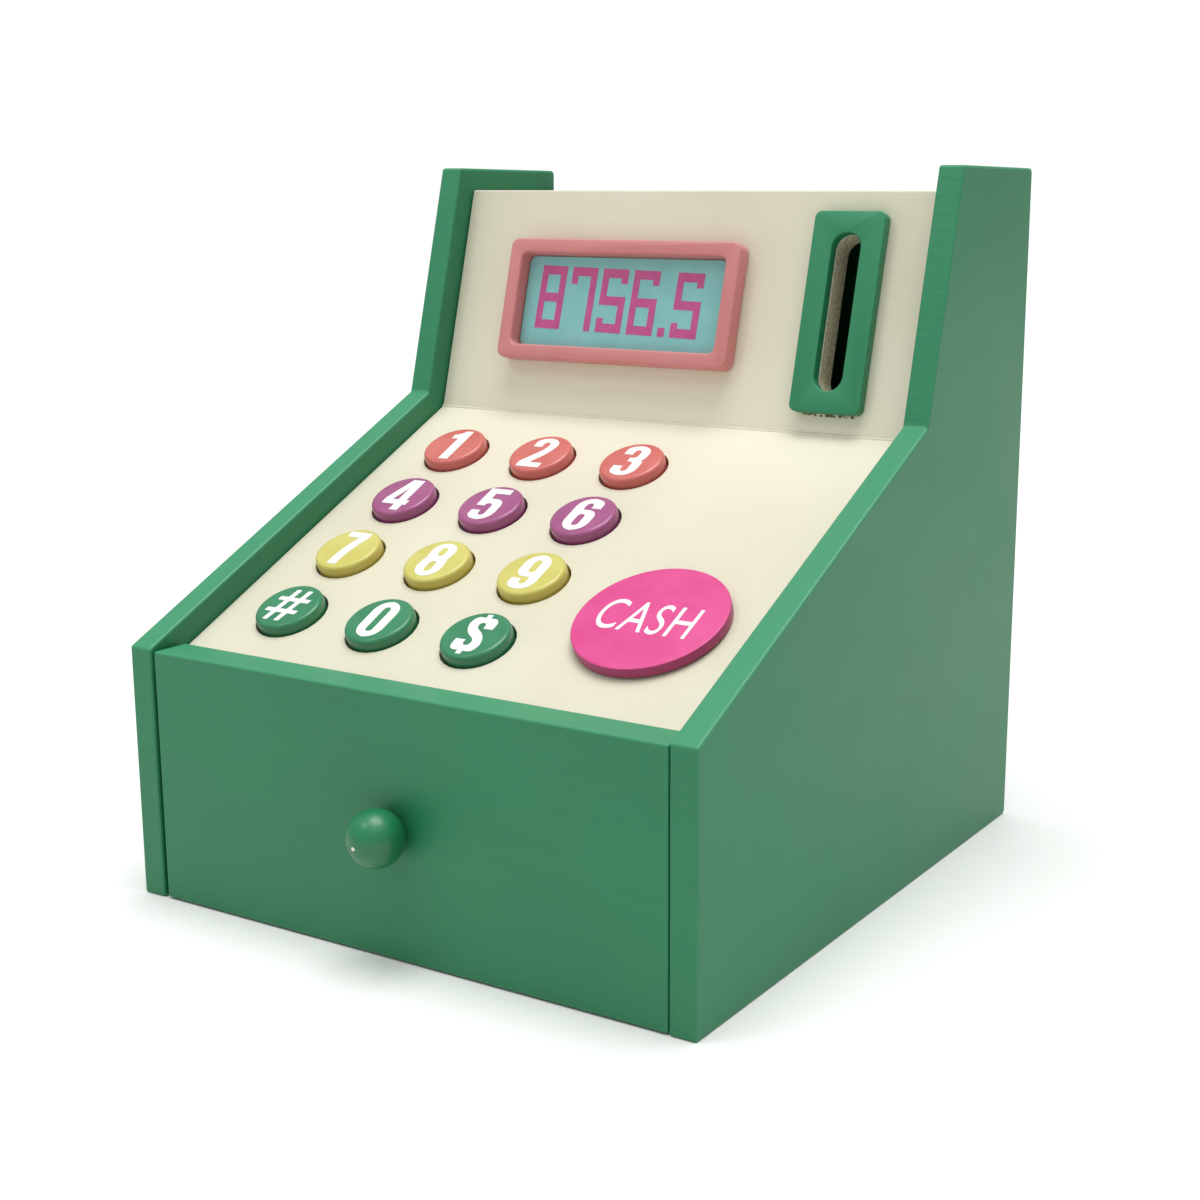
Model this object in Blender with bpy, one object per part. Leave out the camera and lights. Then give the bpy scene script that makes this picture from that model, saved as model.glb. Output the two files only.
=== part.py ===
"""Wooden toy cash register with sprung keys, a card slot and a sliding drawer.

Metres, +Z up. The front faces -Y and +X is the viewer's right. The origin is the middle of the
whole toy's footprint, knob included, on the surface that it stands on.
"""
import math

import bmesh
import bpy
from mathutils import Matrix, Vector

MM = 0.001
GAP = 0.3 * MM                      # between pieces that touch or are glued

# Casing
BODY_WIDTH = 190 * MM
BODY_DEPTH = 202 * MM
BODY_HEIGHT = 211 * MM
BOARD = 8 * MM                      # sides, base, back, top and display boards
FRONT_HEIGHT = 75 * MM              # height of the side's short front edge
KINK_DEPTH = 127.5 * MM             # where the side's edge turns up from keypad to display
KEYPAD_SLOPE = math.radians(26.0)
DISPLAY_SLOPE = math.radians(74.8)
KEYPAD_RECESS = 7.5 * MM            # cream boards lie this far inside the side's edges
DISPLAY_RECESS = 7.9 * MM
CREAM_TOP = 203.8 * MM
SIDE_CORNER = 1.5 * MM              # rounded rear corners of the sides
SIDE_EDGE = 0.7 * MM                # sanded edges

# Drawer
DRAWER_FRONT_THICKNESS = 12 * MM
DRAWER_FRONT_WIDTH = 172.2 * MM
DRAWER_FRONT_TOP = 74.5 * MM
DRAWER_FRONT_BOTTOM = 0.5 * MM
DRAWER_OFFSET = 0.6 * MM            # the drawer sits slightly right of centre
DRAWER_FRONT_EDGE = 0.5 * MM
DRAWER_BOX_WIDTH = 160 * MM
DRAWER_BOX_DEPTH = 170 * MM
DRAWER_BOX_TOP = 50 * MM
DRAWER_WALL = 6 * MM
DRAWER_FLOOR = 3 * MM
DRAWER_CLEARANCE = 0.5 * MM         # above the base board
DRAWER_DIVIDER_DEPTH = 82 * MM      # divider's distance behind the drawer front
KNOB_DIAMETER = 16 * MM
KNOB_REACH = 15 * MM
KNOB_HEIGHT = 37 * MM
KNOB_ACROSS = 1 * MM
KNOB_SCREW_RADIUS = 1.6 * MM
KNOB_SCREW_HEAD_RADIUS = 3 * MM
KNOB_SCREW_HEAD = 1.6 * MM
KNOB_SCREW_POINT = 2 * MM
KNOB_BORE = 9 * MM                  # depth of the screw's bore in the knob
RUNNER_HEIGHT = 12 * MM
RUNNER_CLEARANCE = 0.7 * MM         # each side of the drawer box
RUNNER_SET_BACK = 2 * MM            # behind the front of the base board
RUNNER_REAR_SPACE = 4 * MM          # between a runner and the back board

# Keypad
KEYPAD_BOARD = 6 * MM
KEYPAD_START = 12.8 * MM            # behind the front plane
KEY_NAMES = (("hash", "0", "dollar"), ("7", "8", "9"), ("4", "5", "6"), ("1", "2", "3"))
KEY_COLOURS = ("2F8560", "DDD77A", "B0699A", "E08480")
KEY_FIRST = (-62 * MM, 21.1 * MM)    # across and up the slope, to the lower left key
KEY_PITCH = (34 * MM, 29.1 * MM)
KEY_RADIUS = 10.25 * MM
KEY_HOLE_RADIUS = 11.05 * MM
KEY_STANDS = 3.3 * MM
KEY_EDGE = 1 * MM
KEY_FLANGE_RADIUS = 13.2 * MM
KEY_FLANGE = 2 * MM
KEY_SPIGOT_RADIUS = 3 * MM
KEY_SPIGOT = 6 * MM
CASH_ACROSS = 53 * MM
CASH_UP = 38 * MM
CASH_RADIUS = 22 * MM
CASH_TOP = 3.6 * MM
CASH_UNDER = 0.7 * MM
CASH_EDGE = 0.4 * MM
CASH_STEM_RADIUS = 5.5 * MM
CASH_STEM = 15 * MM
CASH_COLLAR_RADIUS = 10 * MM
SPRING_LENGTH = 11 * MM
SPRING_WIRE = 0.4 * MM
SPRING_TURNS = 4
KEY_SPRING_RADIUS = 4.6 * MM
CASH_SPRING_RADIUS = 7.2 * MM
SPRING_BOARD = 4 * MM
SPRING_BOARD_SPAN = (9 * MM, 121 * MM)
CLEAT_WIDTH = 5.5 * MM
CLEAT_HEIGHT = 8 * MM

# Display and card slot
CREAM_EDGE = 0.4 * MM
FRAME_CORNER = 2.8 * MM
SLOT_FRAME_CORNER = 2.2 * MM
FRAME_EDGE = 0.8 * MM
DISPLAY_ACROSS = -19.3 * MM
DISPLAY_UP = 36.9 * MM
DISPLAY_SIZE = (87.2 * MM, 39.6 * MM)
DISPLAY_WINDOW = (77.5 * MM, 30.4 * MM)
DISPLAY_STANDS = 6 * MM
CARD_THICKNESS = 0.6 * MM
SLOT_ACROSS = 58.9 * MM
SLOT_UP = 36.6 * MM
SLOT_FRAME_SIZE = (23.5 * MM, 61 * MM)
SLOT_FRAME_STANDS = 4 * MM
SLOT_SIZE = (9.6 * MM, 48 * MM)

# Screws that hold the back board
BACK_SCREW_ACROSS = 62 * MM
SCREW_RADIUS = 1.3 * MM
SCREW_HEAD_RADIUS = 2.4 * MM
SCREW_HEAD = 1.8 * MM
SCREW_LENGTH = 22 * MM
SCREW_POINT = 3 * MM
SCREW_SUNK = 0.2 * MM               # head below the board's face
BORE_SPARE = 1 * MM                 # bore past the screw's point

# Worked out from the above
FRONT = KNOB_REACH - (BODY_DEPTH + KNOB_REACH) / 2
REAR = FRONT + BODY_DEPTH
INSIDE = BODY_WIDTH / 2 - BOARD
TAN_KEYPAD = math.tan(KEYPAD_SLOPE)
TAN_DISPLAY = math.tan(DISPLAY_SLOPE)
FLANGE_TOP = -KEYPAD_BOARD - GAP
FLANGE_BOTTOM = FLANGE_TOP - KEY_FLANGE
SPRING_TOP = FLANGE_BOTTOM - GAP
SPRING_BOTTOM = SPRING_TOP - SPRING_LENGTH
SPRING_BOARD_TOP = SPRING_BOTTOM - GAP


def crossing(point_a, slope_a, point_b, slope_b):
    """Point where two sloping lines in the side view meet."""
    along = Vector((math.cos(slope_a), math.sin(slope_a)))
    other = Vector((math.cos(slope_b), math.sin(slope_b)))
    between = Vector(point_b) - Vector(point_a)
    reach = between.cross(other) / along.cross(other)
    return Vector(point_a) + along * reach


def inward(slope):
    """Unit vector in the side view from a sloping edge into the case."""
    return Vector((math.sin(slope), -math.cos(slope)))


FRONT_CORNER = Vector((FRONT, FRONT_HEIGHT))
KINK = Vector((FRONT + KINK_DEPTH, FRONT_HEIGHT + KINK_DEPTH * TAN_KEYPAD))
KEYPAD_LINE = FRONT_CORNER + inward(KEYPAD_SLOPE) * KEYPAD_RECESS
DISPLAY_LINE = KINK + inward(DISPLAY_SLOPE) * DISPLAY_RECESS
INNER_KINK = crossing(KEYPAD_LINE, KEYPAD_SLOPE, DISPLAY_LINE, DISPLAY_SLOPE)
KEYPAD_EDGE = crossing(KEYPAD_LINE, KEYPAD_SLOPE, (FRONT + KEYPAD_START, 0), math.pi / 2)

# Local frames: X across, Y up the board, Z out of the board's face
KEYPAD_FRAME = Matrix.Translation((0, *KEYPAD_EDGE)) @ Matrix.Rotation(KEYPAD_SLOPE, 4, "X")
DISPLAY_FRAME = Matrix.Translation((0, *INNER_KINK)) @ Matrix.Rotation(DISPLAY_SLOPE, 4, "X")

GREEN = "3F8460"
CREAM = "EAE6D2"
BARE_WOOD = "C9AC7E"


def clear_scene():
    for item in list(bpy.data.objects):
        bpy.data.objects.remove(item, do_unlink=True)


def linear(channel):
    return channel / 12.92 if channel <= 0.04045 else ((channel + 0.055) / 1.055) ** 2.4


def finish(name, colour, roughness, metallic=0.0):
    """Principled material from an sRGB hex colour."""
    material = bpy.data.materials.get(name)
    if material:
        return material
    material = bpy.data.materials.new(name)
    material.use_nodes = True
    channels = [linear(int(colour[at:at + 2], 16) / 255) for at in (0, 2, 4)]
    shader = material.node_tree.nodes["Principled BSDF"]
    shader.inputs["Base Color"].default_value = (*channels, 1.0)
    shader.inputs["Roughness"].default_value = roughness
    shader.inputs["Metallic"].default_value = metallic
    return material


def green_paint():
    return finish("green_paint", GREEN, 0.5)


def cream_paint():
    return finish("cream_paint", CREAM, 0.55)


def bare_wood():
    return finish("bare_wood", BARE_WOOD, 0.7)


def spring_steel():
    return finish("spring_steel", "B4B6B8", 0.3, 1.0)


def add_object(name, mesh, material, place=None):
    """Link a mesh as a named object, at a place given as a matrix."""
    item = bpy.data.objects.new(name, mesh)
    bpy.context.collection.objects.link(item)
    mesh.materials.append(material)
    if place is not None:
        item.matrix_world = place
    return item


def mesh_from(name, shape):
    """Finish a bmesh as a mesh with its faces pointing out."""
    bmesh.ops.recalc_face_normals(shape, faces=shape.faces)
    mesh = bpy.data.meshes.new(name)
    shape.to_mesh(mesh)
    shape.free()
    return mesh


def round_edges(item, width, segments=2):
    bevel = item.modifiers.new("sanded_edges", "BEVEL")
    bevel.width = width
    bevel.segments = segments
    bevel.limit_method = "ANGLE"
    bevel.angle_limit = math.radians(40)
    bevel.use_clamp_overlap = True


def cut(item, cutter):
    """Subtract a hidden cutter from an object."""
    cutter.hide_render = True
    cutter.display_type = "WIRE"
    boolean = item.modifiers.new("cut_" + cutter.name, "BOOLEAN")
    boolean.operation = "DIFFERENCE"
    boolean.solver = "EXACT"
    boolean.object = cutter


def box_mesh(name, low, high):
    shape = bmesh.new()
    bmesh.ops.create_cube(shape, size=1)
    size = Vector(high) - Vector(low)
    centre = (Vector(high) + Vector(low)) / 2
    bmesh.ops.scale(shape, vec=size, verts=shape.verts)
    bmesh.ops.translate(shape, vec=centre, verts=shape.verts)
    return mesh_from(name, shape)


def board(name, low, high, material, edge=0.5 * MM, segments=1):
    """Rectangular board between two corners, with sanded edges."""
    item = add_object(name, box_mesh(name, low, high), material)
    round_edges(item, edge, segments)
    return item


def profile_board(name, outline, left, right, material, edge, segments=2):
    """Board from a side-view outline, extruded from left to right."""
    shape = bmesh.new()
    corners = [shape.verts.new((left, depth, height)) for depth, height in outline]
    face = shape.faces.new(corners)
    moved = bmesh.ops.extrude_face_region(shape, geom=[face])["geom"]
    swept = [part for part in moved if isinstance(part, bmesh.types.BMVert)]
    bmesh.ops.translate(shape, vec=(right - left, 0, 0), verts=swept)
    item = add_object(name, mesh_from(name, shape), material)
    round_edges(item, edge, segments)
    return item


def arc(centre, radius, start, stop, steps):
    """Points on an arc, angles in degrees."""
    points = []
    for step in range(steps + 1):
        angle = math.radians(start + (stop - start) * step / steps)
        points.append((centre[0] + radius * math.cos(angle), centre[1] + radius * math.sin(angle)))
    return points


def rounded_rectangle(width, height, radius, steps):
    """Closed outline round the origin, counter-clockwise from the right side."""
    across = width / 2 - radius
    up = height / 2 - radius
    outline = arc((across, up), radius, 0, 90, steps)
    outline += arc((-across, up), radius, 90, 180, steps)
    outline += arc((-across, -up), radius, 180, 270, steps)
    outline += arc((across, -up), radius, 270, 360, steps)
    return outline


def plate_mesh(name, outline, low, high):
    """Flat plate with the given outline, from one height to another."""
    shape = bmesh.new()
    face = shape.faces.new([shape.verts.new((across, up, low)) for across, up in outline])
    moved = bmesh.ops.extrude_face_region(shape, geom=[face])["geom"]
    swept = [part for part in moved if isinstance(part, bmesh.types.BMVert)]
    bmesh.ops.translate(shape, vec=(0, 0, high - low), verts=swept)
    return mesh_from(name, shape)


def ring_mesh(name, outer, inner, low, high):
    """Flat frame between two outlines that have as many points as each other."""
    shape = bmesh.new()
    loops = {}
    for key, outline in (("o", outer), ("i", inner)):
        loops[key + "l"] = [shape.verts.new((across, up, low)) for across, up in outline]
        loops[key + "h"] = [shape.verts.new((across, up, high)) for across, up in outline]
    for first, second in (("ol", "oh"), ("oh", "ih"), ("ih", "il"), ("il", "ol")):
        for at, _ in enumerate(outer):
            after = (at + 1) % len(outer)
            corners = (loops[first][at], loops[first][after], loops[second][after], loops[second][at])
            shape.faces.new(corners)
    return mesh_from(name, shape)


def turned(name, profile, steps, material, place):
    """Turned piece: the profile of radius and height runs down its outer side."""
    shape = bmesh.new()
    points = [shape.verts.new((radius, 0, height)) for radius, height in profile]
    for first, second in zip(points, points[1:]):
        shape.edges.new((first, second))
    mesh = bpy.data.meshes.new(name)
    shape.to_mesh(mesh)
    shape.free()
    item = add_object(name, mesh, material, place)
    screw = item.modifiers.new("lathe", "SCREW")
    screw.axis = "Z"
    screw.angle = math.tau
    screw.steps = steps
    screw.render_steps = steps
    screw.use_smooth_shade = True
    screw.use_merge_vertices = True
    screw.merge_threshold = 0.00001
    return item


def rod_cutter(name, radius, low, high, place, sides=16):
    """Hidden round cutter along its own Z."""
    outline = arc((0, 0), radius, 0, 360 * (sides - 1) / sides, sides - 1)
    return add_object(name, plate_mesh(name, outline, low, high), bare_wood(), place)


def on_keypad(across, up, out=0.0):
    return KEYPAD_FRAME @ Matrix.Translation((across, up, out))


def on_display(across, up, out=0.0):
    return DISPLAY_FRAME @ Matrix.Translation((across, up, out))


def key_places():
    """Name, colour, distance across and distance up for each of the twelve keys."""
    for row, names in enumerate(KEY_NAMES):
        for column, name in enumerate(names):
            across = KEY_FIRST[0] + KEY_PITCH[0] * column
            up = KEY_FIRST[1] + KEY_PITCH[1] * row
            yield name, KEY_COLOURS[row], across, up


def side_outline():
    """Side view of a side board, from the bottom front corner round the back."""
    outline = [(FRONT, 0.0)]
    outline += arc((REAR - SIDE_CORNER, SIDE_CORNER), SIDE_CORNER, -90, 0, 4)
    outline += arc((REAR - SIDE_CORNER, BODY_HEIGHT - SIDE_CORNER), SIDE_CORNER, 0, 90, 4)
    outline.append((KINK[0] + (BODY_HEIGHT - KINK[1]) / TAN_DISPLAY, BODY_HEIGHT))
    outline.append(tuple(KINK))
    outline.append(tuple(FRONT_CORNER))
    return outline


def side_panels():
    outer = BODY_WIDTH / 2
    profile_board("side_panel_left", side_outline(), -outer, -INSIDE, green_paint(), SIDE_EDGE)
    profile_board("side_panel_right", side_outline(), INSIDE, outer, green_paint(), SIDE_EDGE)


def keypad_panel():
    """Sloping board with a hole for each key, mitred where it meets the display board."""
    under = KEYPAD_LINE + inward(KEYPAD_SLOPE) * KEYPAD_BOARD
    behind = DISPLAY_LINE + inward(DISPLAY_SLOPE) * BOARD
    under_front = crossing(under, KEYPAD_SLOPE, KEYPAD_EDGE, math.pi / 2)
    under_rear = crossing(under, KEYPAD_SLOPE, behind, DISPLAY_SLOPE)
    back_off = Vector((math.cos(KEYPAD_SLOPE), math.sin(KEYPAD_SLOPE))) * GAP / 2
    outline = [KEYPAD_EDGE, under_front, under_rear - back_off, INNER_KINK - back_off]
    half = INSIDE - GAP
    item = profile_board("keypad_panel", outline, -half, half, cream_paint(), CREAM_EDGE, 1)
    for name, _, across, up in key_places():
        place = on_keypad(across, up)
        hole = rod_cutter("hole_" + name, KEY_HOLE_RADIUS, -2 * KEYPAD_BOARD, BOARD, place, 28)
        cut(item, hole)
    place = on_keypad(CASH_ACROSS, CASH_UP)
    cut(item, rod_cutter("hole_cash", CASH_STEM_RADIUS + 2 * GAP, -2 * KEYPAD_BOARD, BOARD, place, 24))


def display_panel():
    """Steep board behind the display, with the card slot cut through it."""
    along = Vector((math.cos(DISPLAY_SLOPE), math.sin(DISPLAY_SLOPE)))
    under = KEYPAD_LINE + inward(KEYPAD_SLOPE) * KEYPAD_BOARD
    behind = DISPLAY_LINE + inward(DISPLAY_SLOPE) * BOARD
    low_rear = crossing(under, KEYPAD_SLOPE, behind, DISPLAY_SLOPE)
    top_front = crossing(DISPLAY_LINE, DISPLAY_SLOPE, (0, CREAM_TOP), 0)
    top_rear = crossing(behind, DISPLAY_SLOPE, (0, CREAM_TOP), 0)
    up_off = along * GAP / 2
    outline = [INNER_KINK + up_off, low_rear + up_off, top_rear, top_front]
    half = INSIDE - GAP
    item = profile_board("display_panel", outline, -half, half, cream_paint(), CREAM_EDGE, 1)
    slot = plate_mesh("card_slot", slot_outline(), -2 * BOARD, BOARD)
    cut(item, add_object("card_slot", slot, bare_wood(), on_display(SLOT_ACROSS, SLOT_UP)))


def slot_outline():
    """Card slot: a straight slot with half-round ends."""
    radius = SLOT_SIZE[0] / 2
    centre = SLOT_SIZE[1] / 2 - radius
    return arc((0, centre), radius, 0, 180, 11) + arc((0, -centre), radius, 180, 360, 11)


def top_panel():
    behind = DISPLAY_LINE + inward(DISPLAY_SLOPE) * (BOARD + GAP)
    front_top = crossing(behind, DISPLAY_SLOPE, (0, CREAM_TOP), 0)
    front_low = crossing(behind, DISPLAY_SLOPE, (0, CREAM_TOP - BOARD), 0)
    rear = REAR - BOARD - GAP
    outline = [front_low, (rear, CREAM_TOP - BOARD), (rear, CREAM_TOP), front_top]
    half = INSIDE - GAP
    return profile_board("top_panel", outline, -half, half, cream_paint(), CREAM_EDGE, 1)


def back_and_base(top):
    """Back board, base board and the four screws that hold the back to the base and top."""
    half = INSIDE - GAP
    back = board("back_panel", (-half, REAR - BOARD, 0), (half, REAR, CREAM_TOP), green_paint(), 0.6 * MM, 2)
    base_low = (-half, FRONT + KEYPAD_START, 0)
    base_high = (half, REAR - BOARD - GAP, BOARD)
    base = board("base_panel", base_low, base_high, green_paint())
    number = 0
    for height, held in ((BOARD / 2, base), (CREAM_TOP - BOARD / 2, top)):
        for across in (-BACK_SCREW_ACROSS, BACK_SCREW_ACROSS):
            number += 1
            place = Matrix.Translation((across, REAR, height)) @ Matrix.Rotation(-math.pi / 2, 4, "X")
            back_screw("back_screw_%d" % number, place)
            bored = SCREW_RADIUS + GAP
            cutter = rod_cutter("bored_%d" % number, bored, -SCREW_LENGTH - BORE_SPARE, BOARD, place)
            cut(back, cutter)
            cut(held, cutter)
            sunk = rod_cutter("sunk_%d" % number, SCREW_HEAD_RADIUS + GAP, -SCREW_HEAD - GAP, BOARD, place)
            cut(back, sunk)


def back_screw(name, place):
    """Cheese-head wood screw, its head just under the board's face."""
    profile = [(0, -SCREW_SUNK), (SCREW_HEAD_RADIUS, -SCREW_SUNK), (SCREW_HEAD_RADIUS, -SCREW_HEAD)]
    profile += [(SCREW_RADIUS, -SCREW_HEAD), (SCREW_RADIUS, SCREW_POINT - SCREW_LENGTH), (0, -SCREW_LENGTH)]
    turned(name, profile, 16, finish("zinc_plate", "B9B7AE", 0.35, 1.0), place)


def display_frame_and_card():
    outer = rounded_rectangle(*DISPLAY_SIZE, FRAME_CORNER, 4)
    inner = rounded_rectangle(*DISPLAY_WINDOW, FRAME_CORNER, 4)
    mesh = ring_mesh("display_frame", outer, inner, GAP, DISPLAY_STANDS)
    place = on_display(DISPLAY_ACROSS, DISPLAY_UP)
    item = add_object("display_frame", mesh, finish("pink_paint", "CC7E80", 0.5), place)
    round_edges(item, FRAME_EDGE)
    card = rounded_rectangle(DISPLAY_WINDOW[0] - 2 * GAP, DISPLAY_WINDOW[1] - 2 * GAP, FRAME_CORNER - GAP, 4)
    mesh = plate_mesh("display_card", card, GAP, GAP + CARD_THICKNESS)
    add_object("display_card", mesh, finish("printed_card", "7DB3B0", 0.45), place)


def card_slot_frame():
    outer = rounded_rectangle(*SLOT_FRAME_SIZE, SLOT_FRAME_CORNER, 5)
    mesh = ring_mesh("card_slot_frame", outer, slot_outline(), GAP, SLOT_FRAME_STANDS)
    item = add_object("card_slot_frame", mesh, green_paint(), on_display(SLOT_ACROSS, SLOT_UP))
    round_edges(item, FRAME_EDGE)


def key_profile():
    """Cap with a rounded top edge, retaining flange and spring spigot, as one turning."""
    edge = arc((KEY_RADIUS - KEY_EDGE, KEY_STANDS - KEY_EDGE), KEY_EDGE, 90, 0, 3)
    spigot_end = FLANGE_BOTTOM - KEY_SPIGOT
    profile = [(0, KEY_STANDS)] + edge
    profile += [(KEY_RADIUS, FLANGE_TOP), (KEY_FLANGE_RADIUS, FLANGE_TOP), (KEY_FLANGE_RADIUS, FLANGE_BOTTOM)]
    profile += [(KEY_SPIGOT_RADIUS, FLANGE_BOTTOM), (KEY_SPIGOT_RADIUS, spigot_end), (0, spigot_end)]
    return profile


def spring(name, radius, place):
    """Open coil spring, its axis along its own Z, from the spring board to the key."""
    low = SPRING_BOTTOM + SPRING_WIRE
    high = SPRING_TOP - SPRING_WIRE
    steps = SPRING_TURNS * 7
    curve = bpy.data.curves.new(name, "CURVE")
    curve.dimensions = "3D"
    curve.bevel_depth = SPRING_WIRE
    curve.bevel_resolution = 0
    curve.use_fill_caps = True
    coil = curve.splines.new("POLY")
    coil.points.add(steps)
    for step in range(steps + 1):
        angle = math.tau * SPRING_TURNS * step / steps
        height = low + (high - low) * step / steps
        coil.points[step].co = (radius * math.cos(angle), radius * math.sin(angle), height, 1)
    add_object(name, curve, spring_steel(), place)


def keys():
    for name, colour, across, up in key_places():
        place = on_keypad(across, up)
        paint = finish("key_paint_" + colour.lower(), colour, 0.35)
        turned("button_" + name, key_profile(), 20, paint, place)
        spring("button_spring_" + name, KEY_SPRING_RADIUS, place)


def cash_key():
    """Large disc on a stem, a collar under the keypad board and a spring below it."""
    place = on_keypad(CASH_ACROSS, CASH_UP)
    profile = [(0, CASH_TOP), (CASH_RADIUS - CASH_EDGE, CASH_TOP), (CASH_RADIUS, CASH_TOP - CASH_EDGE)]
    profile += [(CASH_RADIUS, CASH_UNDER), (CASH_STEM_RADIUS, CASH_UNDER)]
    profile += [(CASH_STEM_RADIUS, -CASH_STEM), (0, -CASH_STEM)]
    turned("cash_button", profile, 48, finish("cash_pink", "EE5FA0", 0.35), place)
    bore = CASH_STEM_RADIUS + GAP
    low = FLANGE_BOTTOM
    profile = [(bore, FLANGE_TOP), (CASH_COLLAR_RADIUS, FLANGE_TOP), (CASH_COLLAR_RADIUS, low), (bore, low)]
    turned("cash_collar", profile + profile[:1], 24, bare_wood(), place)
    spring("cash_spring", CASH_SPRING_RADIUS, place)


def spring_board():
    """Inner board that the springs push against, on two cleats glued to the sides."""
    low, high = SPRING_BOARD_SPAN
    half = INSIDE - GAP
    under = SPRING_BOARD_TOP - SPRING_BOARD
    mesh = box_mesh("spring_board", (-half, low, under), (half, high, SPRING_BOARD_TOP))
    add_object("spring_board", mesh, bare_wood(), KEYPAD_FRAME)
    for name, left in (("left", -half), ("right", half - CLEAT_WIDTH)):
        name = "spring_board_cleat_" + name
        top = under - GAP
        mesh = box_mesh(name, (left, low, top - CLEAT_HEIGHT), (left + CLEAT_WIDTH, high, top))
        add_object(name, mesh, bare_wood(), KEYPAD_FRAME)


def drawer():
    """Drawer front with knob, and an open box of thin boards behind it."""
    half = DRAWER_FRONT_WIDTH / 2
    low = (DRAWER_OFFSET - half, FRONT, DRAWER_FRONT_BOTTOM)
    high = (DRAWER_OFFSET + half, FRONT + DRAWER_FRONT_THICKNESS, DRAWER_FRONT_TOP)
    front = board("drawer_front", low, high, green_paint(), DRAWER_FRONT_EDGE, 2)
    drawer_knob(front)
    start = FRONT + DRAWER_FRONT_THICKNESS + GAP
    stop = start + DRAWER_BOX_DEPTH
    left = DRAWER_OFFSET - DRAWER_BOX_WIDTH / 2
    right = DRAWER_OFFSET + DRAWER_BOX_WIDTH / 2
    bottom = BOARD + DRAWER_CLEARANCE
    wood = bare_wood()
    board("drawer_side_left", (left, start, bottom), (left + DRAWER_WALL, stop, DRAWER_BOX_TOP), wood)
    board("drawer_side_right", (right - DRAWER_WALL, start, bottom), (right, stop, DRAWER_BOX_TOP), wood)
    inner_left = left + DRAWER_WALL + GAP
    inner_right = right - DRAWER_WALL - GAP
    back_at = stop - DRAWER_WALL
    board("drawer_back", (inner_left, back_at, bottom), (inner_right, stop, DRAWER_BOX_TOP), wood)
    floor_top = bottom + DRAWER_FLOOR
    board("drawer_bottom", (inner_left, start, bottom), (inner_right, back_at - GAP, floor_top), wood)
    divider_at = start + DRAWER_DIVIDER_DEPTH
    divider_top = DRAWER_BOX_TOP - DRAWER_WALL
    low = (inner_left, divider_at, floor_top + GAP)
    board("drawer_divider", low, (inner_right, divider_at + DRAWER_WALL, divider_top), wood)


def drawer_knob(front):
    """Turned ball with a flat back, held by a screw through the drawer front."""
    radius = KNOB_DIAMETER / 2
    centre = KNOB_REACH - radius
    flat_angle = math.degrees(math.asin((centre - GAP) / radius))
    bore = KNOB_SCREW_RADIUS + GAP
    place = Matrix.Translation((KNOB_ACROSS, FRONT, KNOB_HEIGHT)) @ Matrix.Rotation(math.pi / 2, 4, "X")
    ball = arc((0, centre), radius, 90, -flat_angle, 10)
    profile = [(0, KNOB_REACH)] + ball[1:] + [(bore, GAP), (bore, KNOB_BORE), (0, KNOB_BORE)]
    turned("drawer_knob", profile, 24, finish("green_gloss", "2F7F57", 0.3), place)
    cut(front, rod_cutter("knob_bore", bore, -2 * DRAWER_FRONT_THICKNESS, KNOB_REACH, place))
    head_at = -DRAWER_FRONT_THICKNESS - GAP
    head_end = head_at - KNOB_SCREW_HEAD
    tip = KNOB_BORE - GAP
    profile = [(0, tip), (KNOB_SCREW_RADIUS, tip - KNOB_SCREW_POINT), (KNOB_SCREW_RADIUS, head_at)]
    profile += [(KNOB_SCREW_HEAD_RADIUS, head_at), (KNOB_SCREW_HEAD_RADIUS, head_end), (0, head_end)]
    turned("knob_screw", profile, 16, finish("zinc_plate", "B9B7AE", 0.35, 1.0), place)


def drawer_runners():
    """Guide strips glued to the base, filling the space between the sides and the drawer box."""
    half = INSIDE - GAP
    reach = DRAWER_BOX_WIDTH / 2 + RUNNER_CLEARANCE
    start = FRONT + KEYPAD_START + RUNNER_SET_BACK
    stop = REAR - BOARD - RUNNER_REAR_SPACE
    low = BOARD + GAP
    high = low + RUNNER_HEIGHT
    wood = bare_wood()
    board("drawer_runner_left", (-half, start, low), (DRAWER_OFFSET - reach, stop, high), wood)
    board("drawer_runner_right", (DRAWER_OFFSET + reach, start, low), (half, stop, high), wood)


def build():
    clear_scene()
    side_panels()
    keypad_panel()
    display_panel()
    back_and_base(top_panel())
    display_frame_and_card()
    card_slot_frame()
    keys()
    cash_key()
    spring_board()
    drawer_runners()
    drawer()


build()
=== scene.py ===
import math

import bpy
from mathutils import Matrix, Vector


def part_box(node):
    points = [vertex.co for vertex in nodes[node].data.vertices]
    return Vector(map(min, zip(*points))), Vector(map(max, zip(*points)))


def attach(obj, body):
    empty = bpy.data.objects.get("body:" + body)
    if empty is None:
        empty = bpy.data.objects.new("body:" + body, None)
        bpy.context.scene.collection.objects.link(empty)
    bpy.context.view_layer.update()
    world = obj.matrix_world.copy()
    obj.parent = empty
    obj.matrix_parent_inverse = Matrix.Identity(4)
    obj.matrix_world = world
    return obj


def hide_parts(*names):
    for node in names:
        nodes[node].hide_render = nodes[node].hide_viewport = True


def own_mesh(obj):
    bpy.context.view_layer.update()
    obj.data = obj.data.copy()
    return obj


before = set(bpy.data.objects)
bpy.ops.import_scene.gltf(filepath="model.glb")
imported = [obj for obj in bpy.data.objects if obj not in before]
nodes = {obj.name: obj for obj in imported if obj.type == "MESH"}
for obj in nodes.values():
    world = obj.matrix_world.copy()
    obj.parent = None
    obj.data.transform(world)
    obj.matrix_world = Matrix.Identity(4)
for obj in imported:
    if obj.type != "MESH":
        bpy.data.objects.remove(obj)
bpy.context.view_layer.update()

mm = 0.001
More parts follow.
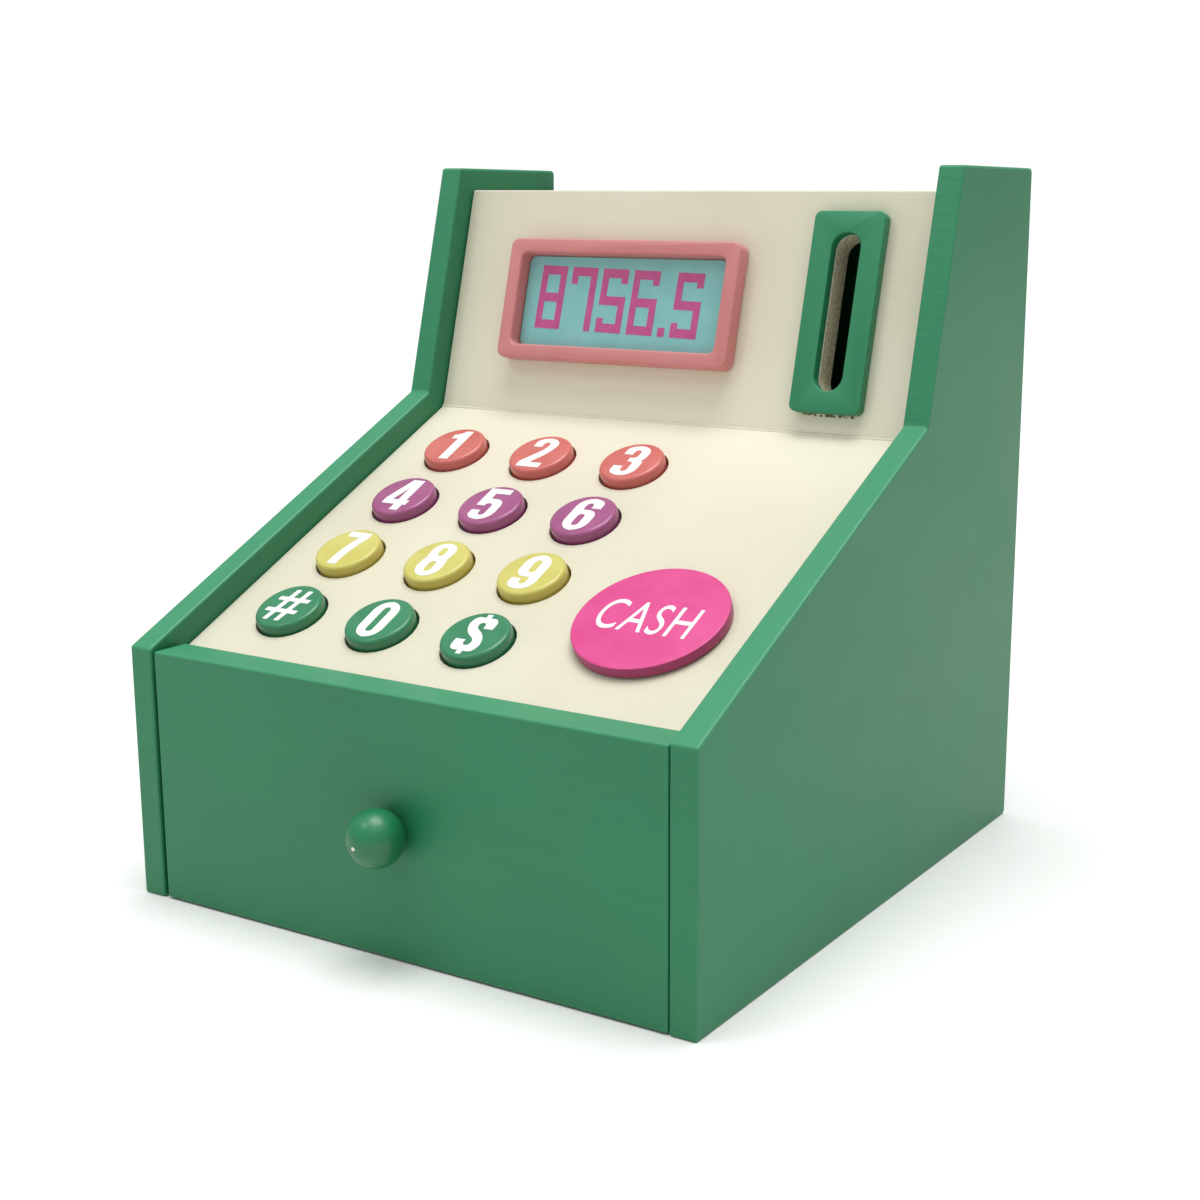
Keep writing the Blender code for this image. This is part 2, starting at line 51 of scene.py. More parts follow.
sameSpot = 0.01 * mm  # points closer than this count as one

# where the two sloping boards lie: x across, y up the board, z out of its face
keypadTilt = math.radians(26.0)
displayTilt = math.radians(74.8)
keypadPlace = (Matrix.Translation((0, -80.7 * mm, 72.898 * mm))
               @ Matrix.Rotation(keypadTilt, 4, "X"))
displayPlace = (Matrix.Translation((0, 40.823 * mm, 132.169 * mm))
                @ Matrix.Rotation(displayTilt, 4, "X"))
keypadOut = keypadPlace.to_3x3() @ Vector((0, 0, 1))
print("frame loaded,", len(nodes), "nodes")


# small helpers, each one a step that would be done by hand

def deselect():
    if bpy.context.object and bpy.context.object.mode != "OBJECT":
        bpy.ops.object.mode_set(mode="OBJECT")
    bpy.ops.object.select_all(action="DESELECT")


def pickOnly(piece):
    deselect()
    piece.select_set(True)
    bpy.context.view_layer.objects.active = piece


def nameIt(name):
    piece = bpy.context.object
    piece.name = name
    piece.data.name = name
    return piece


def startPicking(piece, kind):
    pickOnly(piece)
    bpy.ops.object.mode_set(mode="EDIT")
    bpy.ops.mesh.select_mode(type=kind)
    bpy.ops.mesh.select_all(action="DESELECT")
    bpy.ops.object.mode_set(mode="OBJECT")


def pickFaces(piece, wanted):
    startPicking(piece, "FACE")
    for face in piece.data.polygons:
        face.select = wanted(face)
    bpy.ops.object.mode_set(mode="EDIT")


def pickEdges(piece, wanted):
    startPicking(piece, "EDGE")
    points = piece.data.vertices
    for edge in piece.data.edges:
        edge.select = wanted(*(points[i].co for i in edge.vertices))
    bpy.ops.object.mode_set(mode="EDIT")


def pickAll():
    bpy.ops.object.mode_set(mode="EDIT")
    bpy.ops.mesh.select_all(action="SELECT")


def facesDown(face):
    return face.normal.z < -0.9


def doneEditing():
    bpy.ops.object.mode_set(mode="OBJECT")


def applyAll(piece):
    pickOnly(piece)
    for modifier in list(piece.modifiers):
        bpy.ops.object.modifier_apply(modifier=modifier.name)


def roundOff(piece, width, steps=3, angle=35):
    soft = piece.modifiers.new("soft edges", "BEVEL")
    soft.width = width
    soft.segments = steps
    soft.limit_method = "ANGLE"
    soft.angle_limit = math.radians(angle)
    applyAll(piece)


def smooth(piece, angle=32):
    pickOnly(piece)
    bpy.ops.object.shade_smooth_by_angle(angle=math.radians(angle))


def copyOf(piece, name):
    twin = piece.copy()
    twin.data = piece.data.copy()
    twin.name = name
    twin.data.name = name
    bpy.context.scene.collection.objects.link(twin)
    return twin


def settle(piece, place):
    # moves the finished shape to its place and leaves its object at the origin
    pickOnly(piece)
    piece.matrix_world = place
    bpy.ops.object.transform_apply(location=True, rotation=True, scale=True)


def paintWith(piece, material):
    piece.data.materials.clear()
    piece.data.materials.append(material)


def discard(piece):
    bpy.data.objects.remove(piece)


def cutAway(piece, tool):
    cut = piece.modifiers.new("cut", "BOOLEAN")
    cut.operation = "DIFFERENCE"
    cut.solver = "EXACT"
    cut.object = tool
    applyAll(piece)
    discard(tool)


def linearColour(hexText):
    parts = [int(hexText[i:i + 2], 16) / 255 for i in (1, 3, 5)]
    return [p / 12.92 if p <= 0.04045 else ((p + 0.055) / 1.055) ** 2.4 for p in parts] + [1.0]


def addNode(tree, kind, inputs=None, **settings):
    # adds one node, sets it, and links or fills the inputs that are named or numbered
    node = tree.nodes.new("ShaderNode" + kind)
    for name, value in settings.items():
        setattr(node, name, value)
    for socket, value in (inputs or {}).items():
        if isinstance(value, bpy.types.NodeSocket):
            tree.links.new(value, node.inputs[socket])
        else:
            node.inputs[socket].default_value = value
    return node


def newFinish(name, **sockets):
    material = bpy.data.materials.new(name)
    material.use_nodes = True
    tree = material.node_tree
    shader = tree.nodes["Principled BSDF"]
    for socket, value in sockets.items():
        shader.inputs[socket.replace("_", " ")].default_value = value
    return material, tree, shader


def perMm(size):
    # pattern scale that repeats about once in this many millimetres
    return 1000.0 / size


def insideBox(tree, place, box):
    # one inside a box that is turned with the display board, and nothing outside it
    local = addNode(tree, "Mapping", {"Vector": place, "Location": box["centre"],
                                      "Rotation": (displayTilt, 0, 0)}, vector_type="TEXTURE")
    split = addNode(tree, "SeparateXYZ", {0: local.outputs[0]})
    across, up, out = [addNode(tree, "Math", {0: split.outputs[axis], 1: 0.0, 2: reach},
                               operation="COMPARE").outputs[0]
                       for axis, reach in enumerate(box["reach"])]
    face = addNode(tree, "Math", {0: across, 1: up}, operation="MULTIPLY").outputs[0]
    return addNode(tree, "Math", {0: face, 1: out}, operation="MULTIPLY").outputs[0]


def spreadNoise(tree, place, noise, span):
    # a noise pattern, and the same pattern brought to the wanted span
    pattern = addNode(tree, "TexNoise", {"Vector": place, **noise}).outputs["Fac"]
    return pattern, addNode(tree, "MapRange", {"Value": pattern, **span}).outputs[0]


def coats(tree, colour, layers):
    # lays each tint over the colour so far, as thickly as its mask says
    for mask, tint in layers:
        over = linearColour(tint) if isinstance(tint, str) else tint
        colour = addNode(tree, "Mix", {"Factor": mask, 6: colour, 7: over},
                         data_type="RGBA").outputs[2]
    return colour


def twoTone(tree, place, deep, light, noise, low, high):
    # a cloudy drift from one tone to another, and the pattern that it follows
    pattern, tone = spreadNoise(tree, place, noise, {"From Min": low, "From Max": high})
    return pattern, coats(tree, linearColour(deep), [(tone, light)])


def wornRim(tree, flat, radius, low, high):
    # an edge is where the rounded normal leaves the face's own
    turned = addNode(tree, "Bevel", {"Radius": radius}, samples=6)
    same = addNode(tree, "VectorMath", {0: turned.outputs[0], 1: flat.outputs["Normal"]},
                   operation="DOT_PRODUCT")
    return addNode(tree, "MapRange", {"Value": same.outputs["Value"], "From Min": high,
                                      "From Max": low}).outputs[0]


def relief(tree, layers):
    # bumps stacked one over the other: strength, depth in millimetres, pattern
    below = {}
    for strength, deep, height in layers:
        bump = addNode(tree, "Bump", {"Strength": strength, "Distance": deep * mm,
                                      "Height": height, **below})
        below = {"Normal": bump.outputs[0]}
    return bump


def feed(tree, shader, colour, rough, bump):
    tree.links.new(colour, shader.inputs["Base Color"])
    tree.links.new(rough, shader.inputs["Roughness"])
    tree.links.new(bump.outputs[0], shader.inputs["Normal"])


def satinPaint(name, look):
    # water-based satin enamel on sanded board: even colour, a faint orange peel, brush lines
    # you only see at a slant, a few dust nibs under the coat, and edges rubbed a little paler
    material, tree, shader = newFinish(name, IOR=1.5, Specular_IOR_Level=look["gloss"])
    place = addNode(tree, "TexCoord").outputs["Object"]
    cloud, base = twoTone(tree, place, look["deep"], look["light"],
                          {"Scale": perMm(look["cloud"]), "Detail": 3.0}, 0.34, 0.66)
    brushed = addNode(tree, "Mapping", {"Vector": place, "Scale": look["brush"]})
    lines, lineTone = spreadNoise(
        tree, brushed.outputs[0], {"Scale": 1.0, "Detail": 3.0, "Roughness": 0.6},
        {"From Min": 0.35, "From Max": 0.7, "To Max": look["lineTone"]})
    peel = addNode(tree, "TexNoise", {"Vector": place, "Scale": perMm(look["peel"]),
                                      "Detail": 2.0})
    nibs = addNode(tree, "TexVoronoi", {"Vector": place, "Scale": perMm(look["nibSpacing"])})
    nibDot = addNode(tree, "MapRange", {"Value": nibs.outputs["Distance"], "From Min": 0.0,
                                        "From Max": look["nibSize"], "To Min": 1.0, "To Max": 0.0})
    few = addNode(tree, "Math", {0: nibs.outputs["Color"], 1: 1 - look["nibShare"]},
                  operation="GREATER_THAN")
    nib = addNode(tree, "Math", {0: nibDot.outputs[0], 1: few.outputs[0]}, operation="MULTIPLY")
    specked = addNode(tree, "Math", {0: nib.outputs[0], 1: look["nibTone"]}, operation="MULTIPLY")

    # painted light: faces that look up are painted paler, standing in for the overhead light that
    # falls on them
    flat = addNode(tree, "NewGeometry")
    facing = addNode(tree, "SeparateXYZ", {0: flat.outputs["Normal"]})
    topLightMask = addNode(tree, "MapRange", {"Value": facing.outputs[2], "From Min": 0.0,
                                        "From Max": 0.5, "To Max": look["paintedTopLightShare"]})
    patches = spreadNoise(
        tree, place, {"Scale": perMm(9.0), "Detail": 5.0, "Roughness": 0.65},
        {"From Min": 0.38, "From Max": 0.62, "To Min": 0.25, "To Max": look["wear"]})[1]
    rim = wornRim(tree, flat, look["wearWidth"] * mm, 0.86, 0.99)
    wear = addNode(tree, "Math", {0: rim, 1: patches}, operation="MULTIPLY")
    layers = [(lineTone, look["line"]), (topLightMask.outputs[0], look["paintedTopLight"]),
              (wear.outputs[0], look["edge"]), (specked.outputs[0], look["nib"])]

    if "recess" in look:
        # painted light: near the joint of the two boards the paint is made paler, to lift the shade
        # that falls in that corner
        flatPlace = addNode(tree, "VectorMath", {0: place, 1: (0, 1, 1)}, operation="MULTIPLY")
        away = addNode(tree, "VectorMath", {0: flatPlace.outputs[0], 1: look["recess"]},
                       operation="DISTANCE")
        paintedKinkLight = addNode(tree, "MapRange", {"Value": away.outputs["Value"], "From Min": 4 * mm,
                                           "From Max": look["recessReach"], "To Min": 0.9,
                                           "To Max": 0.0}, interpolation_type="SMOOTHSTEP")
        layers.append((paintedKinkLight.outputs[0], look["paintedKinkLight"]))
    if "cutWall" in look:
        # the slot's sawn wall was never painted: brown-grey fibres with soft dark gaps
        wall, crumbs = look["cutWall"], look["crumbs"]
        raw = twoTone(tree, place, wall["dark"], wall["pale"],
                      {"Scale": perMm(0.9), "Detail": 4.0}, 0.35, 0.65)[1]
        layers.append((insideBox(tree, place, wall), raw))
        # crumbs of old glue and paint hang along the lower edge of the slot's frame
        lumps = spreadNoise(tree, place, {"Scale": perMm(1.7), "Detail": 4.0},
                            {"From Min": 0.46, "From Max": 0.52})[1]
        grubby = addNode(tree, "Math", {0: insideBox(tree, place, crumbs), 1: lumps},
                         operation="MULTIPLY")
        layers.append((grubby.outputs[0], crumbs["tone"]))

    gloss = addNode(tree, "MapRange", {"Value": cloud, "From Min": 0.3, "From Max": 0.7,
                                       "To Min": look["rough"] - 0.05,
                                       "To Max": look["rough"] + 0.06})
    surface = [(look["peelBump"], 0.3, peel.outputs["Fac"]), (look["lineBump"], 0.25, lines)]
    if "sawBump" in look:
        # saw ripples still show through the paint on the narrow edges of the side boards
        sawn = addNode(tree, "Mapping", {"Vector": place, "Scale": look["saw"]})
        ripples = addNode(tree, "TexNoise", {"Vector": sawn.outputs[0], "Scale": 1.0,
                                             "Detail": 2.0})
        sideways = addNode(tree, "Math", {0: facing.outputs[0]}, operation="ABSOLUTE")
        onEdge = addNode(tree, "Math", {0: sideways.outputs[0], 1: 0.5}, operation="LESS_THAN")
        height = addNode(tree, "Math", {0: ripples.outputs["Fac"], 1: onEdge.outputs[0]},
                         operation="MULTIPLY")
        surface.append((look["sawBump"], 0.5, height.outputs[0]))
    surface.append((0.35, 0.15, nib.outputs[0]))
    feed(tree, shader, coats(tree, base, layers), gloss.outputs[0], relief(tree, surface))
    return material


# the tone laid on up-facing faces is painted light from above, not a colour of the paint
boardGreen = {
    "deep": "#1E764E", "light": "#257E54", "line": "#2E865B", "paintedTopLight": "#48A277", "paintedTopLightShare": 0.68,
    "edge": "#62AA84", "nib": "#1D6542",
    "cloud": 70.0, "peel": 1.8, "brush": (perMm(1.4), perMm(50.0), perMm(22.0)),
    "lineTone": 0.22, "nibSpacing": 16.0, "nibSize": 0.022, "nibShare": 0.3, "nibTone": 0.6,
    "wearWidth": 0.5, "wear": 0.6, "rough": 0.44, "peelBump": 0.14, "lineBump": 0.09,
    "gloss": 0.42,
}
satinGreenEnamel = satinPaint("satinGreenEnamel", boardGreen)
satinGreenSides = satinPaint("satinGreenSides", dict(
    boardGreen, saw=(perMm(11.0), perMm(1.7), perMm(1.7)), sawBump=0.3))
# the front is brushed from side to side, so its lines lie flat
satinGreenFront = satinPaint("satinGreenFront", dict(
    boardGreen, brush=(perMm(50.0), perMm(14.0), perMm(1.6)), lineTone=0.15, lineBump=0.05))
# on cream, up-facing faces get a little painted light from above, and the boards near their joint
# are painted paler to lift the shade that falls there
boardCream = dict(
    boardGreen, deep="#DCD7BF", light="#E2DEC8", line="#E6E2D0", edge="#EEEBDA", nib="#8F8263",
    paintedTopLight="#E9E5D2", paintedTopLightShare=0.08,
    nibSpacing=13.0, nibSize=0.028, nibShare=0.12, nibTone=0.9, rough=0.48,
    brush=(perMm(60.0), perMm(2.2), perMm(2.2)), lineTone=0.2, lineBump=0.05, cloud=55.0,
    recess=(0, *displayPlace.translation.yz), recessReach=52.0 * mm, paintedKinkLight="#ECE8D3")
satinCreamEnamel = satinPaint("satinCreamEnamel", boardCream)
slotAcross, slotUp = 58.9 * mm, 36.6 * mm  # where the card slot sits on the display board
slotPlace = displayPlace @ Matrix.Translation((slotAcross, slotUp, 0))
satinCreamDisplay = satinPaint("satinCreamDisplay", dict(
    boardCream,
    cutWall={"centre": tuple(slotPlace @ Vector((0, 0, -4.2 * mm))), "dark": "#B0A98E",
             "pale": "#EBE4CB", "reach": (5.2 * mm, 24.4 * mm, 4.1 * mm)},
    crumbs={"centre": tuple(slotPlace @ Vector((0.5 * mm, -30.75 * mm, 0))), "tone": "#6B6142",
            "reach": (9.0 * mm, 0.45 * mm, 1.0 * mm)}))
# the pink frame's up-facing faces take painted light from above, a paler pink
satinPinkEnamel = satinPaint("satinPinkEnamel", dict(
    boardGreen, deep="#C97878", light="#D18282", line="#D88E8D", edge="#E8AEAB", nib="#A35F60",
    paintedTopLight="#E0A09E", paintedTopLightShare=0.4,
    brush=(perMm(1.1), perMm(1.1), perMm(1.1)), cloud=30.0, nibSpacing=9.0, rough=0.4, wear=0.5))


def lacquer(name, look):
    # coloured lacquer on a small turned or punched wooden piece: deep smooth colour with a wet
    # rim of light, tiny chips along the rim, and fine rub marks on top
    material, tree, shader = newFinish(name, IOR=1.5, Coat_Weight=look["coat"],
                                       Coat_Roughness=0.12)
    place = addNode(tree, "TexCoord").outputs["Object"]
    base = twoTone(tree, place, look["deep"], look["light"],
                   {"Scale": perMm(9.0), "Detail": 4.0}, 0.36, 0.64)[1]
    # painted shade: faces turned away from the look's out direction, the key's wall or the knob's
    # underside, are painted darker, as they stand in shade
    flat = addNode(tree, "NewGeometry")
    outward = addNode(tree, "VectorMath", {0: flat.outputs["Normal"], 1: look["out"]},
                      operation="DOT_PRODUCT")
    wall = addNode(tree, "MapRange", {"Value": outward.outputs["Value"], "From Min": 0.75,
                                      "From Max": 0.1, "To Max": look["paintedWallShade"]})
    chips = spreadNoise(tree, place, {"Scale": perMm(2.2), "Detail": 4.0, "Roughness": 0.7},
                        {"From Min": look["chipFrom"], "From Max": look["chipFrom"] + 0.04})[1]
    rim = wornRim(tree, flat, 0.6 * mm, 0.9, 0.995)
    chip = addNode(tree, "Math", {0: rim, 1: chips}, operation="MULTIPLY").outputs[0]
    layers = [(wall.outputs[0], look["wall"]), (chip, look["chip"])]
    if "fleck" in look:
        # one pale fleck where the coat was knocked off
        near = addNode(tree, "VectorMath", {0: place, 1: look["fleck"]}, operation="DISTANCE")
        reach = spreadNoise(tree, place, {"Scale": perMm(0.7)},
                            {"To Min": 0.25 * mm, "To Max": 0.95 * mm})[1]
        bare = addNode(tree, "Math", {0: near.outputs["Value"], 1: reach}, operation="LESS_THAN")
        layers.append((bare.outputs[0], look["chip"]))
    gloss = spreadNoise(tree, place, {"Scale": perMm(4.0), "Detail": 5.0},
                        {"From Min": 0.3, "From Max": 0.7, "To Min": look["rough"] - 0.05,
                         "To Max": look["rough"] + 0.08})[1]
    peel = addNode(tree, "TexNoise", {"Vector": place, "Scale": perMm(1.3), "Detail": 2.0})
    pitted = relief(tree, [(look["peelBump"], 0.2, peel.outputs["Fac"]), (0.4, 0.12, chip)])
    pitted.invert = True
    feed(tree, shader, coats(tree, base, layers), gloss, pitted)
    return material


keyLook = {"coat": 0.22, "rough": 0.34, "peelBump": 0.1, "chipFrom": 0.64, "chip": "#E9E4D2",
           "out": tuple(keypadOut), "paintedWallShade": 0.8}
# each key's wall tone is painted shade: the sides of the cap are painted darker than its top
keyLacquers = {
    colour: lacquer(colour + "KeyLacquer", dict(keyLook, deep=deep, light=light, wall=wall, **more))
    for colour, deep, light, wall, more in (
        ("green", "#2F8258", "#388C62", "#25764B", {"chipFrom": 0.6}),
        ("yellow", "#D0C864", "#D8D274", "#B9A63E", {}),
        ("purple", "#A05182", "#AA5C8C", "#8A3A6E", {}),
        ("coral", "#CF6B63", "#D7756D", "#BF574F", {}))
}
# the disc's darker wall tone is painted shade on its side
cashPinkLacquer = lacquer("cashPinkLacquer", dict(
    keyLook, deep="#DC438C", light="#E24D95", wall="#931C57", coat=0.12, rough=0.42, chipFrom=0.7))
knobLow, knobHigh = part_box("drawer_knob")
knobSoft = 0.3 * mm  # how far the knob's sawn edge is rubbed round
knobRadius = (knobHigh.x - knobLow.x) / 2
knobCentre = Vector(((knobLow.x + knobHigh.x) / 2, knobLow.y + knobRadius,
                     (knobLow.z + knobHigh.z) / 2))
# the knob's darker wall tone is painted shade on its lower side, which faces away from the light
# above
knobLacquer = lacquer("knobGreenLacquer", dict(
    keyLook, deep="#1A784A", light="#228152", wall="#14683E", out=(0, -0.3, 0.95), coat=0.16,
    rough=0.38, chipFrom=0.8,
    fleck=tuple(knobCentre + Vector((-0.10, -0.99, -0.08)).normalized() * knobRadius)))


def bareTimber(name, look):
    # unfinished basswood strip and ply: pale, dry, long fibres with darker growth lines
    material, tree, shader = newFinish(name, IOR=1.45)
    place = addNode(tree, "TexCoord").outputs["Object"]
    along = addNode(tree, "Mapping", {"Vector": place, "Scale": look["grain"]})
    base = twoTone(tree, along.outputs[0], look["pale"], look["ring"],
                   {"Scale": 1.0, "Detail": 4.0, "Distortion": 0.6}, 0.35, 0.68)[1]
    fine = addNode(tree, "Mapping", {"Vector": place, "Scale": look["fibre"]})
    fibres, fibreTone = spreadNoise(tree, fine.outputs[0], {"Scale": 1.0, "Detail": 3.0},
                                    {"From Min": 0.45, "From Max": 0.75, "To Max": 0.5})
    dry = addNode(tree, "MapRange", {"Value": fibres, "To Min": 0.62, "To Max": 0.86})
    feed(tree, shader, coats(tree, base, [(fibreTone, look["pore"])]), dry.outputs[0],
         relief(tree, [(0.3, 0.2, fibres)]))
    return material


timberLook = {"pale": "#D9C199", "ring": "#C4A473", "pore": "#A98557"}
timberLengthwise = bareTimber("bassLengthwise", dict(
    timberLook, grain=(perMm(7.0), perMm(90.0), perMm(7.0)),
    fibre=(perMm(0.7), perMm(18.0), perMm(0.7))))
timberCrosswise = bareTimber("bassCrosswise", dict(
    timberLook, grain=(perMm(90.0), perMm(7.0), perMm(7.0)),
    fibre=(perMm(18.0), perMm(0.7), perMm(0.7))))


def printedCard(name, look):
    # flat ink on matt coated card: even, a little mottled, with the paper's tooth in the sheen
    material, tree, shader = newFinish(name, IOR=1.48)
    place = addNode(tree, "TexCoord").outputs["Object"]
    base = twoTone(tree, place, look["deep"], look["light"],
                   {"Scale": perMm(look["mottle"]), "Detail": 5.0, "Roughness": 0.6}, 0.36, 0.64)[1]
    tooth, sheen = spreadNoise(tree, place, {"Scale": perMm(0.45), "Detail": 2.0},
                               {"To Min": look["rough"] - 0.08, "To Max": look["rough"] + 0.08})
    feed(tree, shader, base, sheen, relief(tree, [(look["bump"], 0.05, tooth)]))
    return material


tealCard = printedCard("tealPrintedCard", {
    "deep": "#82C3C2", "light": "#8ACBC9", "mottle": 9.0, "rough": 0.55, "bump": 0.25})
magentaInk = printedCard("magentaInk", {
    "deep": "#C0508C", "light": "#C95A95", "mottle": 3.0, "rough": 0.5, "bump": 0.2})
# screen ink laid on thick, so white holds over the dark caps
whiteScreenInk = printedCard("whiteScreenInk", {
    "deep": "#EEF0EE", "light": "#F7F8F6", "mottle": 2.5, "rough": 0.45, "bump": 0.3})


def brightMetal(name, look):
    # plated or drawn steel: grey mirror broken by fine marks along the way it was worked
    material, tree, shader = newFinish(name, Metallic=1.0)
    place = addNode(tree, "TexCoord").outputs["Object"]
    marks, base = twoTone(tree, place, look["deep"], look["light"],
                          {"Scale": perMm(look["marks"]), "Detail": 5.0}, 0.35, 0.65)
    rough = addNode(tree, "MapRange", {"Value": marks, "To Min": look["rough"] - 0.08,
                                       "To Max": look["rough"] + 0.12})
    feed(tree, shader, base, rough.outputs[0], relief(tree, [(0.15, 0.05, marks)]))
    return material


zincPlate = brightMetal("brightZincPlate", {"deep": "#9C998D", "light": "#BDBAAF", "marks": 0.6,
                                            "rough": 0.36})
springWire = brightMetal("drawnSpringWire", {"deep": "#9FA2A6", "light": "#BCBFC2", "marks": 0.4,
                                             "rough": 0.28})
print("materials made")


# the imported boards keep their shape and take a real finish
boardFinishes = {
    satinGreenSides: ("side_panel_left", "side_panel_right"),
    satinGreenEnamel: ("back_panel", "base_panel"),
    satinGreenFront: ("drawer_front",),
    satinCreamEnamel: ("keypad_panel", "top_panel"),
    satinCreamDisplay: ("display_panel",),
    tealCard: ("display_card",),
    timberLengthwise: ("drawer_runner_left", "drawer_runner_right", "drawer_side_left",
                       "drawer_side_right", "drawer_bottom", "cash_collar"),
    timberCrosswise: ("spring_board", "spring_board_cleat_left", "spring_board_cleat_right",
                      "drawer_back", "drawer_divider"),
}
for finish, boards in boardFinishes.items():
    for board in boards:
        for slot in nodes[board].material_slots:
            slot.material = finish
print("boards finished")


def roundedSlab(name, width, height, depth, corner, steps):
    deselect()
    bpy.ops.mesh.primitive_cube_add(size=1)
    slab = nameIt(name)
    slab.scale = (width, height, depth)
    bpy.ops.object.transform_apply(location=False, rotation=False, scale=True)
    pickEdges(slab, lambda a, b: abs(a.z - b.z) > depth / 2)
    bpy.ops.mesh.bevel(offset=corner, segments=steps, affect="EDGES")
    doneEditing()
    return slab


def raisedFrame(look, place, finish):
    # a routed ring of board: its outer slab, then the window cut out, then every edge softened
    low, high = look["bottom"], look["top"]
    ring = roundedSlab(look["name"], look["width"], look["height"], high - low, look["corner"], 8)
    through = 3 * (high - low)
    cutAway(ring, roundedSlab("windowCut", look["windowWidth"], look["windowHeight"], through,
                              look["windowCorner"], look["windowSteps"]))
    roundOff(ring, look["edge"], steps=4, angle=50)
    smooth(ring, 40)
    paintWith(ring, finish)
    settle(ring, place @ Matrix.Translation((look["across"], look["up"], (low + high) / 2)))
    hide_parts(look["node"])
    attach(ring, "casing")


displayFrame = {
    "name": "displayFrame", "node": "display_frame", "across": -19.3 * mm, "up": 36.9 * mm,
    "width": 87.2 * mm, "height": 39.6 * mm, "corner": 2.8 * mm, "bottom": 0.3 * mm,
    "top": 6.0 * mm, "windowWidth": 77.5 * mm, "windowHeight": 30.4 * mm,
    "windowCorner": 2.2 * mm, "windowSteps": 6, "edge": 0.7 * mm,
}
raisedFrame(displayFrame, displayPlace, satinPinkEnamel)

slotFrame = {
    "name": "cardSlotFrame", "node": "card_slot_frame", "across": slotAcross, "up": slotUp,
    "width": 23.5 * mm, "height": 61.0 * mm, "corner": 2.2 * mm, "bottom": 0.3 * mm,
    "top": 4.0 * mm, "windowWidth": 9.6 * mm, "windowHeight": 48.0 * mm,
    "windowCorner": 4.79 * mm, "windowSteps": 14, "edge": 0.7 * mm,
}
raisedFrame(slotFrame, displayPlace, satinGreenEnamel)

# a run of paint and filler closes the joint where the two cream boards meet
bead = {"radius": 0.5 * mm, "sides": 12, "length": 173.0 * mm, "cuts": 90, "wobble": 0.05 * mm,
        "sink": 0.15 * mm}
deselect()
bpy.ops.mesh.primitive_cylinder_add(vertices=bead["sides"], radius=bead["radius"],
                                    depth=bead["length"], rotation=(0, math.pi / 2, 0))
fillet = nameIt("jointFiller")
bpy.ops.object.transform_apply(location=True, rotation=True, scale=True)
pickEdges(fillet, lambda a, b: abs(a.x - b.x) > bead["length"] / 2)
bpy.ops.mesh.subdivide(number_cuts=bead["cuts"])
bpy.ops.mesh.select_all(action="SELECT")
bpy.ops.transform.vertex_random(offset=bead["wobble"], uniform=0.0, normal=1.0, seed=3)
doneEditing()
smooth(fillet, 60)
paintWith(fillet, satinCreamEnamel)
between = (keypadOut + displayPlace.to_3x3() @ Vector((0, 0, 1))).normalized()
settle(fillet, Matrix.Translation(displayPlace.translation - between * bead["sink"]))
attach(fillet, "casing")
print("raised frames made")


def roundCap(look, finish):
    # a turned button: the cap, its flange under the board and the spigot that the spring sits on
    deselect()
    bpy.ops.mesh.primitive_cylinder_add(
        vertices=look["sides"], radius=look["radius"], depth=look["top"] - look["flangeTop"],
        location=(0, 0, (look["top"] + look["flangeTop"]) / 2))
    cap = nameIt(look["name"])
    bpy.ops.object.transform_apply(location=True, rotation=True, scale=True)
    pickFaces(cap, facesDown)
    radius = look["radius"]
    for nextRadius, drop in look["under"]:
        grow = nextRadius / radius
        bpy.ops.mesh.extrude_region_move()
        bpy.ops.transform.resize(value=(grow, grow, 1))
        bpy.ops.mesh.extrude_region_move(TRANSFORM_OT_translate={"value": (0, 0, -drop)})
        radius = nextRadius
    doneEditing()
    top = look["top"] - sameSpot
    rim = look["radius"] - sameSpot
    pickEdges(cap, lambda a, b: min(a.z, b.z) > top and min(a.xy.length, b.xy.length) > rim)
    bpy.ops.mesh.bevel(offset=look["rim"], segments=look["rimSteps"], affect="EDGES")
    doneEditing()
    smooth(cap, 38)
    paintWith(cap, finish)
    return cap


keyCap = {
    "name": "keyCap", "sides": 72, "radius": 10.25 * mm, "top": 3.3 * mm, "flangeTop": -6.3 * mm,
    "under": ((13.2 * mm, 2.0 * mm), (3.0 * mm, 6.0 * mm)), "rim": 1.25 * mm, "rimSteps": 7,
}
keyRows = (  # up the board, lacquer, and the keys from left to right
    (21.1, "green", ("hash", "0", "dollar")),
    (50.2, "yellow", ("7", "8", "9")),
    (79.3, "purple", ("4", "5", "6")),
    (108.4, "coral", ("1", "2", "3")),
)
keyColumns = (-62.0, -28.0, 6.0)
capTurn = (0.9, 0.37)  # radians for each millimetre across and up
keySpots = [(name, colour, across, up) for up, colour, names in keyRows
            for across, name in zip(keyColumns, names)]

modelKey = roundCap(keyCap, keyLacquers["green"])
for name, colour, across, up in keySpots:
    key = copyOf(modelKey, "key_" + name)
    # each cap is turned a little differently, so no two wear alike
    turn = Matrix.Rotation(across * capTurn[0] + up * capTurn[1], 4, "Z")
    settle(key, keypadPlace @ Matrix.Translation((across * mm, up * mm, 0)) @ turn)
    paintWith(key, keyLacquers[colour])
    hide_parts("button_" + name)
    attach(key, "key_" + name)
discard(modelKey)

